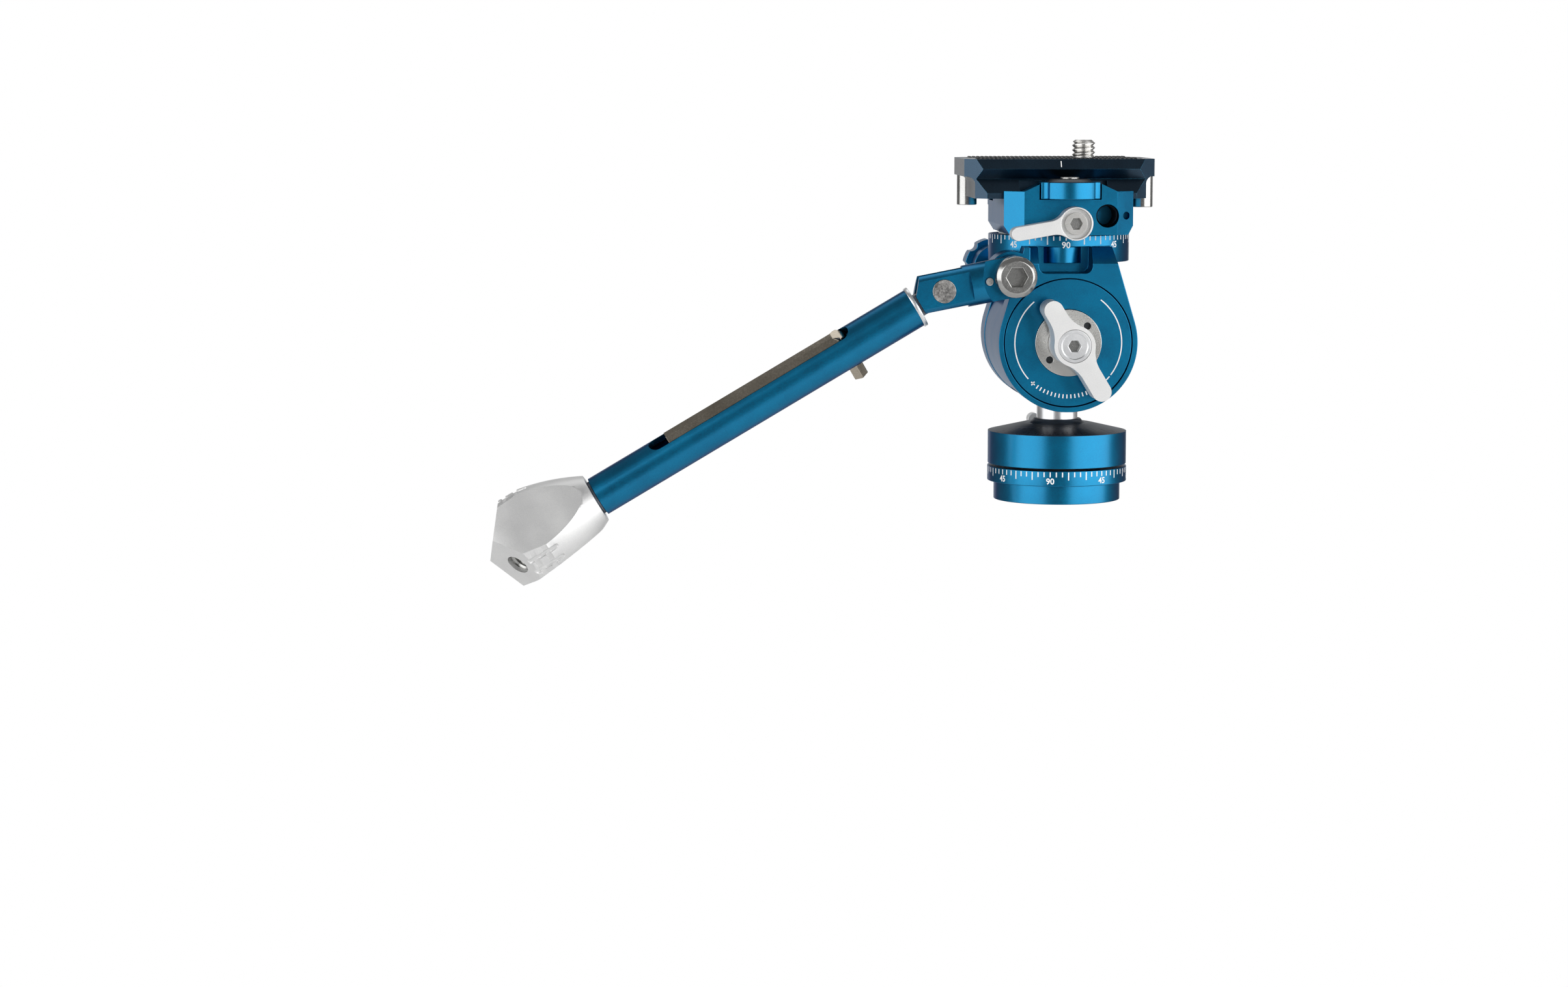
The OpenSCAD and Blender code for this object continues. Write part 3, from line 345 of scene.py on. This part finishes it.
# %% [markdown]
# Print on the two dials: a tick every five degrees, a longer one every fifteen, and plain numbers at every
# forty-five, where the tick stays short. On the real dials they are marked through the dye. Flat marks bent
# round the cylinder do this with few faces, and they stay crisp at any distance.

# %% Print helpers
PRINT_DEPTH = 0.03 * MM
BOLDER = 0.05 * MM
FIGURE_SHARE = 0.69


def flat_mark(bm, x, z, width, height):
    size = Matrix.Diagonal((width, PRINT_DEPTH, height, 1))
    return bmesh.ops.create_cube(bm, size=1, matrix=Matrix.Translation((x, 0, z)) @ size)["verts"]


def flat_words(bm, words, height, z):
    curve = bpy.data.curves.new("words", "FONT")
    curve.body = words
    curve.size = height / FIGURE_SHARE
    curve.align_x = "CENTER"
    curve.align_y = "CENTER"
    curve.extrude = PRINT_DEPTH / 2
    curve.offset = BOLDER
    curve.resolution_u = 3
    holder = bpy.data.objects.new("words", curve)
    bpy.context.scene.collection.objects.link(holder)
    bpy.context.view_layer.update()
    mesh = bpy.data.meshes.new_from_object(holder.evaluated_get(bpy.context.evaluated_depsgraph_get()))
    bpy.data.objects.remove(holder)
    before = set(bm.verts)
    bm.from_mesh(mesh)
    bpy.data.meshes.remove(mesh)
    figures = [v for v in bm.verts if v not in before]
    upright = Matrix.Translation((0, 0, z)) @ Matrix.Rotation(math.radians(90), 4, "X")
    bmesh.ops.transform(bm, matrix=upright, verts=figures)
    return figures


def wrap_round(verts, radius, turn):
    for vert in verts:
        angle = turn + vert.co.x / radius
        reach = radius - vert.co.y
        vert.co = (reach * math.sin(angle), -reach * math.cos(angle), vert.co.z)


print("print depth:", PRINT_DEPTH / MM, "mm")

# %% [markdown]
# The same function prints both dials. The middle of the scale is 90, a little to the left of the front.

# %% Dial print
DIAL_NUMBERS = {0: "90", 45: "45", 90: "0", 135: "45", 180: "90", -45: "45", -90: "0", -135: "45"}
TICK_EVERY = 5
LONG_EVERY = 15
NUMBER_EVERY = 45
TICK_WIDTH = 0.32 * MM
UPPER_DIAL_R = 19.5 * MM


def print_dial(name, body, radius, middle, tick_top, short, long, number_z, number_height):
    bm = bmesh.new()
    for degrees in range(0, 360, TICK_EVERY):
        height = long if degrees % LONG_EVERY == 0 and degrees % NUMBER_EVERY else short
        tick = flat_mark(bm, 0, tick_top - height / 2, TICK_WIDTH, height)
        wrap_round(tick, radius, math.radians(middle + degrees))
    for degrees, number in DIAL_NUMBERS.items():
        figures = flat_words(bm, number, number_height, number_z)
        wrap_round(figures, radius, math.radians(middle + degrees))
    finish_piece(name, bm, white_ink, body)


lower_low, lower_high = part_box("lower_dial_ring")
print_dial("lower_dial_print", "base", lower_high.x, middle=-12.6, tick_top=lower_high.z - 0.25 * MM,
           short=1.35 * MM, long=2.2 * MM, number_z=lower_low.z + 1.35 * MM, number_height=1.6 * MM)
upper_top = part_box("upper_pan_washer")[0].z
print_dial("upper_dial_print", "yoke", UPPER_DIAL_R, middle=-1.3, tick_top=upper_top - 0.1 * MM,
           short=1.2 * MM, long=2.3 * MM, number_z=upper_top - 2.6 * MM, number_height=1.65 * MM)

# %% [markdown]
# The lock disc carries a scale for the ball's friction: two arcs, a fan of ticks, a plus and a minus.
# An arc is a small rectangle spun part of a turn, and ticks are little bars turned about the same centre.

# %% Lock disc print helpers
SCALE_R = 14.65 * MM
LINE_W = 0.32 * MM
ARC_STEPS = 40

disc_low, disc_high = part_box("lock_disc")
disc_centre = Vector((0, disc_low.y, (disc_low.z + disc_high.z) / 2))


def disc_turn(degrees):
    return Matrix.Translation(disc_centre) @ Matrix.Rotation(math.radians(-degrees), 4, "Y")


def disc_bar(bm, degrees, along, across):
    bar = flat_mark(bm, SCALE_R, 0, along, across)
    bmesh.ops.transform(bm, matrix=disc_turn(degrees), verts=bar)


def disc_arc(bm, start, end):
    near = SCALE_R - LINE_W / 2
    far = SCALE_R + LINE_W / 2
    front = -PRINT_DEPTH / 2
    back = PRINT_DEPTH / 2
    corners = ((near, front), (far, front), (far, back), (near, back))
    verts = [bm.verts.new((x, y, 0)) for x, y in corners]
    face = bm.faces.new(verts)
    bmesh.ops.transform(bm, matrix=disc_turn(start), verts=verts)
    bmesh.ops.spin(bm, geom=[face] + list(face.edges) + verts, cent=disc_centre, axis=(0, -1, 0),
                   angle=math.radians(end - start), steps=ARC_STEPS, use_merge=False)


print("lock disc scale radius:", SCALE_R / MM, "mm")

# %% [markdown]
# Angles on the disc are counted in degrees, anticlockwise from the right as the camera sees it. The fan of
# ticks fills the space between the two arcs at the bottom, with the plus at its left end and the minus at
# its right.

# %% Lock disc print
LEFT_ARC = (130, 222)
RIGHT_ARC = (-37, 53)
FAN_START = 235
FAN_EVERY = 4.25
FAN_TICKS = 19
FAN_LENGTH = 1.1 * MM
PLUS_AT = 229
MINUS_AT = 318.5
SIGN_LENGTH = 1.3 * MM

bm = bmesh.new()
disc_arc(bm, *LEFT_ARC)
disc_arc(bm, *RIGHT_ARC)
for step in range(FAN_TICKS):
    disc_bar(bm, FAN_START + step * FAN_EVERY, FAN_LENGTH, LINE_W)
disc_bar(bm, PLUS_AT, SIGN_LENGTH, LINE_W)
disc_bar(bm, PLUS_AT, LINE_W, SIGN_LENGTH)
disc_bar(bm, MINUS_AT, LINE_W, SIGN_LENGTH)
finish_piece("lock_disc_print", bm, white_ink, "ball_cup")

# %% [markdown]
# One index tick on the plate's front bevel shows the middle of the plate when it is slid along.

# %% Plate index tick
INDEX_X = -1.65 * MM
INDEX_WIDTH = 0.28 * MM
INDEX_LENGTH = 1.9 * MM
RIDGE_BACK = 1.0 * MM
RIDGE_DROP = 2.7 * MM
BEVEL_IN = 1.7 * MM

plate_low, plate_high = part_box("plate")
lean = math.atan2(BEVEL_IN, RIDGE_DROP)
ridge_y = plate_low.y + RIDGE_BACK
middle = Vector((INDEX_X, ridge_y + BEVEL_IN / 2, plate_high.z - RIDGE_DROP / 2))
bm = bmesh.new()
tick = flat_mark(bm, 0, 0, INDEX_WIDTH, INDEX_LENGTH)
bmesh.ops.transform(bm, matrix=Matrix.Translation(middle) @ Matrix.Rotation(-lean, 4, "X"), verts=tick)
finish_piece("plate_index", bm, white_ink, "plate")

# %% [markdown]
# Screw threads are helices. A thread's profile is four points, spun about the axis with a rise at each step,
# until neighbouring turns meet at the root and can be merged into one skin. Both ends are then cut flat. The
# solid model keeps plain walls, so the scene adds the threads.

# %% Thread helper
PITCH = 1.27 * MM
TURN_STEPS = 40
HALF_CREST = 0.08
HALF_ROOT = 0.5


def thread_skin(bm, root, crest, low, high):
    turns = math.ceil((high - low) / PITCH) + 2
    start = low - PITCH
    profile = [(root, -HALF_ROOT), (crest, -HALF_CREST), (crest, HALF_CREST), (root, HALF_ROOT)]
    verts = [bm.verts.new((r, 0, start + share * PITCH)) for r, share in profile]
    edges = [bm.edges.new(pair) for pair in zip(verts, verts[1:])]
    bmesh.ops.spin(bm, geom=verts + edges, cent=(0, 0, 0), axis=(0, 0, 1), angle=2 * math.pi * turns,
                   steps=TURN_STEPS * turns, dvec=(0, 0, PITCH / TURN_STEPS), use_merge=False)
    bmesh.ops.remove_doubles(bm, verts=bm.verts, dist=MERGE)
    for height, outward in ((low, -1), (high, 1)):
        whole = list(bm.verts) + list(bm.edges) + list(bm.faces)
        bmesh.ops.bisect_plane(bm, geom=whole, plane_co=(0, 0, height), plane_no=(0, 0, outward),
                               clear_outer=True)


print("pitch:", PITCH / MM, "mm")

# %% [markdown]
# The camera screw: a quarter-inch thread with a chamfered tip, a short plain shank and a flat round head that
# stays hidden in the plate's channel. Closing the ends of the thread's skin makes it solid.

# %% Camera screw
THREAD_R = 3.175 * MM
ROOT_R = 2.55 * MM
TIP = 0.5 * MM
TIP_SHARE = 0.8
PLATE_CLEAR = 0.3 * MM
HEAD_HEIGHT = 3.4 * MM
SHANK_R = 2.9 * MM
SHANK_LAP = 0.2 * MM
ROUND_SIDES = 64

screw_low, screw_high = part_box("camera_screw")
thread_low = plate_high.z + PLATE_CLEAR
bm = bmesh.new()
thread_skin(bm, ROOT_R, THREAD_R, thread_low, screw_high.z - TIP)
tops = [e for e in bm.edges if e.is_boundary and e.verts[0].co.z > thread_low + MM]
tip = bmesh.ops.extrude_edge_only(bm, edges=tops)["geom"]
tip_verts = [g for g in tip if isinstance(g, bmesh.types.BMVert)]
bmesh.ops.scale(bm, vec=(TIP_SHARE, TIP_SHARE, 1), verts=tip_verts)
bmesh.ops.translate(bm, vec=(0, 0, TIP), verts=tip_verts)
bmesh.ops.holes_fill(bm, edges=[e for e in bm.edges if e.is_boundary], sides=0)
head_top = screw_low.z + HEAD_HEIGHT
head_r = (screw_high.x - screw_low.x) / 2
for radius, low, high in ((head_r, screw_low.z, head_top), (SHANK_R, head_top, thread_low + SHANK_LAP)):
    bmesh.ops.create_cone(bm, cap_ends=True, segments=ROUND_SIDES, radius1=radius, radius2=radius,
                          depth=high - low, matrix=Matrix.Translation((0, 0, (low + high) / 2)))
bmesh.ops.translate(bm, vec=((screw_low.x + screw_high.x) / 2, 0, 0), verts=bm.verts)
screw = finish_piece("camera_screw_threaded", bm, stainless, "camera_screw")
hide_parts("camera_screw")

# %% [markdown]
# The accessory hole in the clamp and the one in the end of the grip have the same thread, dark as painted
# shade in the clamp and bare in the grip. The same skin with its crest pointing inwards lies against the wall
# of each hole, and starts a little inside the mouth.

# %% Threads inside the two accessory holes
HOLE_WALL = 3.12 * MM
THREAD_DEPTH = 0.5 * MM
THREAD_START = 0.4 * MM
CLAMP_FACE_BACK = 1.2 * MM
CLAMP_THREAD_LENGTH = 9 * MM
GRIP_SET_IN = 0.5 * MM


def hole_thread(name, body, material, mouth, outward, length):
    bm = bmesh.new()
    thread_skin(bm, HOLE_WALL, HOLE_WALL - THREAD_DEPTH, -length, -THREAD_START)
    turn = Vector((0, 0, 1)).rotation_difference(outward).to_matrix().to_4x4()
    bmesh.ops.transform(bm, matrix=Matrix.Translation(mouth) @ turn, verts=bm.verts)
    finish_piece(name, bm, material, body)


mounts = {mount["name"]: mount for mount in frame["record"]["mounts"]}
clamp_hole = mounts["accessory_hole"]
clamp_mouth = Vector(clamp_hole["pos_m"])
clamp_mouth.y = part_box("clamp_body")[0].y + CLAMP_FACE_BACK
# Black oxide on the clamp's thread is painted shade inside the hole.
hole_thread("accessory_hole_thread", "clamp", black_oxide_and_shade, clamp_mouth,
            Vector(clamp_hole["axis"]), CLAMP_THREAD_LENGTH)
grip_hole = mounts["grip_end_hole"]
grip_outward = Vector(grip_hole["axis"])
half_depth = grip_hole["dims"]["length_mm"] * MM / 2
grip_mouth = Vector(grip_hole["pos_m"]) + grip_outward * (half_depth - GRIP_SET_IN)
hole_thread("grip_hole_thread", "handle", ground_steel, grip_mouth, grip_outward,
            2 * half_depth - 2 * GRIP_SET_IN)

# %% [markdown]
# Painted shade in the holes: the nut's two spanner holes and the grip's hole end in a dark floor of painted
# shade, and the hex sockets of three screws in a ground one. Each floor is one flat face inside its hole, close
# to the end. Without it a metal hole looks as bright as the face around it, because light bounces in it many
# times.

# %% Painted shade floors of the spanner holes and the grip's hole
SPANNER_R = 0.97 * MM
SPANNER_AT = 6.9 * MM
SPANNER_TURN = math.radians(42)
SPANNER_FLOOR = 1.25 * MM
FLOOR_GAP = 0.1 * MM
FLOOR_SIDES = 32
FACING_FRONT = Matrix.Rotation(math.radians(90), 4, "X") @ Matrix.Rotation(math.radians(30), 4, "Z")


def hole_floor(bm, place, facing, radius, sides):
    bmesh.ops.create_circle(bm, cap_ends=True, segments=sides, radius=radius,
                            matrix=Matrix.Translation(place) @ facing)


nut_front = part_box("spanner_nut")[0].y
bm = bmesh.new()
for side in (-1, 1):
    across = side * SPANNER_AT * math.cos(SPANNER_TURN)
    up = side * SPANNER_AT * math.sin(SPANNER_TURN)
    spanner_floor = (disc_centre.x + across, nut_front + SPANNER_FLOOR, disc_centre.z + up)
    hole_floor(bm, spanner_floor, FACING_FRONT, SPANNER_R, FLOOR_SIDES)
# A dark floor as painted shade in each spanner hole.
finish_piece("spanner_hole_shade_floors", bm, black_oxide_and_shade, "ball_cup")

grip_floor = grip_mouth - grip_outward * (2 * half_depth - GRIP_SET_IN - FLOOR_GAP)
facing_out = grip_outward.to_track_quat("Z", "Y").to_matrix().to_4x4()
bm = bmesh.new()
hole_floor(bm, grip_floor, facing_out, HOLE_WALL, FLOOR_SIDES)
# A dark floor as painted shade deep in the grip's hole.
finish_piece("grip_hole_shade_floor", bm, black_oxide_and_shade, "handle")

# %% [markdown]
# A hex socket's floor is the same kind of face with six sides, in ground steel, which is darker than the
# polished lever cap: partly the socket's real floor, partly painted shade. It is measured from the front of its
# screw, and its radius reaches to the corners.

# %% Floors of the hex sockets
BODY_OF = {node: body for body, names in frame["record"]["behaviour"]["bodies"].items() for node in names}
SOCKET_FLOOR = {"handle_bolt": 3.45 * MM, "pan_lock_screw": 1.45 * MM, "lever_cap": 2.25 * MM}
SOCKET_R = {"handle_bolt": 2.85 * MM, "pan_lock_screw": 1.72 * MM, "lever_cap": 1.72 * MM}
HEX_SIDES = 6

for node, depth in SOCKET_FLOOR.items():
    low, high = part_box(node)
    socket_floor = ((low.x + high.x) / 2, low.y + depth, (low.z + high.z) / 2)
    bm = bmesh.new()
    hole_floor(bm, socket_floor, FACING_FRONT, SOCKET_R[node], HEX_SIDES)
    # The ground steel floor is partly painted shade in the socket.
    finish_piece(node + "_socket_floor", bm, ground_steel, BODY_OF[node])

# %% [markdown]
# Ribbed rubber strips on the plate keep the camera from turning. Each is a thin backing with a row of small
# rounded ribs across it. One rib is a bevelled bar, and a spin with no angle repeats it along the strip.

# %% Ribbed strips
RIB_PITCH = 1.2 * MM
RIB_WIDTH = 0.75 * MM
RIB_HEIGHT = 0.4 * MM
RIB_PROUD = 0.25 * MM
RIB_ROUND = 0.2 * MM
HAIR = 0.01 * MM


def ribbed_strip(name, node):
    low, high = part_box(node)
    size = high - low
    centre = (low + high) / 2
    backing_top = high.z - RIB_PROUD
    bm = bmesh.new()
    backing = Matrix.Diagonal((size.x, size.y, backing_top - low.z, 1))
    backing_place = Matrix.Translation((centre.x, centre.y, (low.z + backing_top) / 2))
    bmesh.ops.create_cube(bm, size=1, matrix=backing_place @ backing)
    bar = Matrix.Diagonal((RIB_WIDTH, size.y, RIB_HEIGHT, 1))
    bar_place = Matrix.Translation((low.x + RIB_PITCH / 2, centre.y, high.z - RIB_HEIGHT / 2))
    rib = bmesh.ops.create_cube(bm, size=1, matrix=bar_place @ bar)["verts"]
    crown = [e for e in bm.edges if all(v in rib and v.co.z > backing_top for v in e.verts)
             and abs(e.verts[0].co.y - e.verts[1].co.y) > MM]
    bmesh.ops.bevel(bm, geom=crown, offset=RIB_ROUND, affect="EDGES", segments=2, profile=0.5, material=-1)
    above = [v for v in bm.verts if v.co.z > backing_top + HAIR or v in rib]
    faces = [f for f in bm.faces if all(v in above for v in f.verts)]
    count = int(size.x / RIB_PITCH) - 1
    bmesh.ops.spin(bm, geom=faces + above, cent=(0, 0, 0), axis=(0, 0, 1), angle=0, steps=count,
                   dvec=(RIB_PITCH, 0, 0), use_duplicate=True)
    piece = finish_piece(name, bm, rubber, "plate")
    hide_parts(node)


ribbed_strip("ribbed_strip_front", "pad_front")
ribbed_strip("ribbed_strip_rear", "pad_rear")

# %% [markdown]
# The studio: a pale floor well below and a white wall behind, in a mid-grey room. Metal shows its
# surroundings, so the wall gives each round piece a thin bright rim and the grey room shades the part beside
# it. The wall is white to the camera and in reflections, and plain pale paint to all other light.

# %% Floor and wall
FLOOR_Z = -0.6
FLOOR_WIDTH = 6.0
WALL_Y = 1.6
WALL_WIDTH = 1.5
WALL_HEIGHT = 1.3
PALE_PAINT = "#F4F4F4"


def stage_plane(name, material, width, height, place, tilt):
    turn = Matrix.Rotation(math.radians(tilt), 4, "X")
    shape = Matrix.Translation(place) @ turn @ Matrix.Diagonal((width, height, 1, 1))
    bm = bmesh.new()
    bmesh.ops.create_grid(bm, x_segments=1, y_segments=1, size=0.5, matrix=shape)
    mesh = bpy.data.meshes.new(name)
    bm.to_mesh(mesh)
    bm.free()
    mesh.materials.append(material)
    plane = bpy.data.objects.new(name, mesh)
    bpy.context.scene.collection.objects.link(plane)


pale_floor = new_material("pale_floor")
floor_paint = add_node(pale_floor, "ShaderNodeBsdfDiffuse", {"Color": linear(PALE_PAINT)})
add_node(pale_floor, "ShaderNodeOutputMaterial", {"Surface": floor_paint.outputs[0]})

white_wall = new_material("white_wall")
path = add_node(white_wall, "ShaderNodeLightPath")
direct = add_node(white_wall, "ShaderNodeMath", {0: path.outputs["Is Camera Ray"],
                                                 1: path.outputs["Is Glossy Ray"]}, operation="MAXIMUM")
seen = add_node(white_wall, "ShaderNodeMath", {0: direct.outputs[0],
                                               1: path.outputs["Is Transmission Ray"]}, operation="MAXIMUM")
wall_paint = add_node(white_wall, "ShaderNodeBsdfDiffuse", {"Color": linear(PALE_PAINT)})
glow = add_node(white_wall, "ShaderNodeEmission", {"Color": linear("#FFFFFF"), "Strength": 1.0})
either = add_node(white_wall, "ShaderNodeMixShader", {0: seen.outputs[0], 1: wall_paint.outputs[0],
                                                      2: glow.outputs[0]})
add_node(white_wall, "ShaderNodeOutputMaterial", {"Surface": either.outputs[0]})

stage_plane("floor", pale_floor, FLOOR_WIDTH, FLOOR_WIDTH, (0, 0, FLOOR_Z), tilt=0)
stage_plane("wall", white_wall, WALL_WIDTH, WALL_HEIGHT, (0, WALL_Y, FLOOR_Z + WALL_HEIGHT / 2), tilt=90)
print("floor at", FLOOR_Z, "m, wall at", WALL_Y, "m")

# %% [markdown]
# Two wide soft boxes stand at the sides. Each starts about twenty degrees off the camera's line and reaches
# round to about ninety, which makes a pair of light bands on each cylinder with a darker middle. A third one,
# overhead and a little behind, lights the plate's top.

# %% Lights and world
AIM = Vector((-30, 0, 50)) * MM


def soft_box(name, place, width, height, power):
    lamp = bpy.data.lights.new(name, "AREA")
    lamp.shape = "RECTANGLE"
    lamp.size = width
    lamp.size_y = height
    lamp.energy = power
    holder = bpy.data.objects.new(name, lamp)
    holder.location = place
    holder.rotation_euler = (AIM - Vector(place)).to_track_quat("-Z", "Y").to_euler()
    holder.visible_camera = False
    bpy.context.scene.collection.objects.link(holder)


soft_box("left_soft_box", (-1.42, -0.80, 0.30), width=2.2, height=1.3, power=20)
soft_box("right_soft_box", (1.27, -0.96, 0.30), width=2.5, height=1.3, power=26)
soft_box("top_soft_box", (0.0, 0.6, 1.3), width=1.4, height=0.8, power=4.0)

world = bpy.data.worlds.new("studio_room")
bpy.context.scene.world = world
world.use_nodes = True
room = world.node_tree.nodes["Background"]
room.inputs["Color"].default_value = linear("#808080")
room.inputs["Strength"].default_value = 1.0
bpy.context.scene.view_settings.view_transform = "Standard"
print("lamps:", len(bpy.data.lights))
